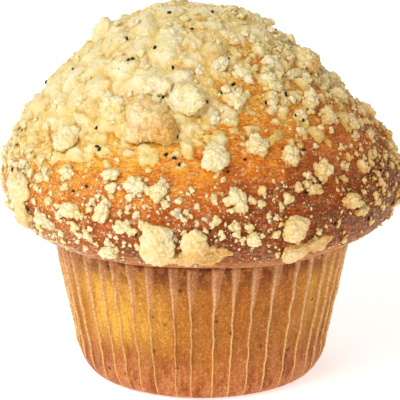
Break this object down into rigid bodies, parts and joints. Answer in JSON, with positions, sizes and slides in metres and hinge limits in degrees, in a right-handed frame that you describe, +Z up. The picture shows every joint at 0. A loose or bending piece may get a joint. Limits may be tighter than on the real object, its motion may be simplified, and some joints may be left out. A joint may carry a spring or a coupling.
{
  "type": "muffin",
  "caption": "Lemon and poppy seed muffin with a browned, domed cap under streusel crumbs, in a pleated paper baking case.",
  "frame": {"origin": "middle of the paper case's flat base, on the surface that the muffin stands on", "axes": "+Z up through the cap, -Y towards the viewer, +X to the viewer's right"},
  "size_m": [0.0855, 0.0896, 0.0786],
  "materials": {
    "crust": "satin",
    "streusel": "matte",
    "paper": "matte"
  },
  "bodies": {
    "root": {"paper_case": "paper", "muffin_cake": "crust", "lump_front": "streusel", "lump_front_right": "streusel", "lump_lip_right": "streusel", "lump_left": "streusel", "lump_shoulder": "streusel", "lump_middle": "streusel", "lump_gloss": "streusel", "lump_right": "streusel", "lump_crown": "streusel", "lump_spike": "streusel", "lump_top": "streusel", "lump_upper": "streusel", "lump_left_high": "streusel", "lump_left_low": "streusel", "lump_back_high": "streusel", "lump_back_left": "streusel", "lump_back_right": "streusel", "lump_back_lip": "streusel"}
  },
  "joints": []
}
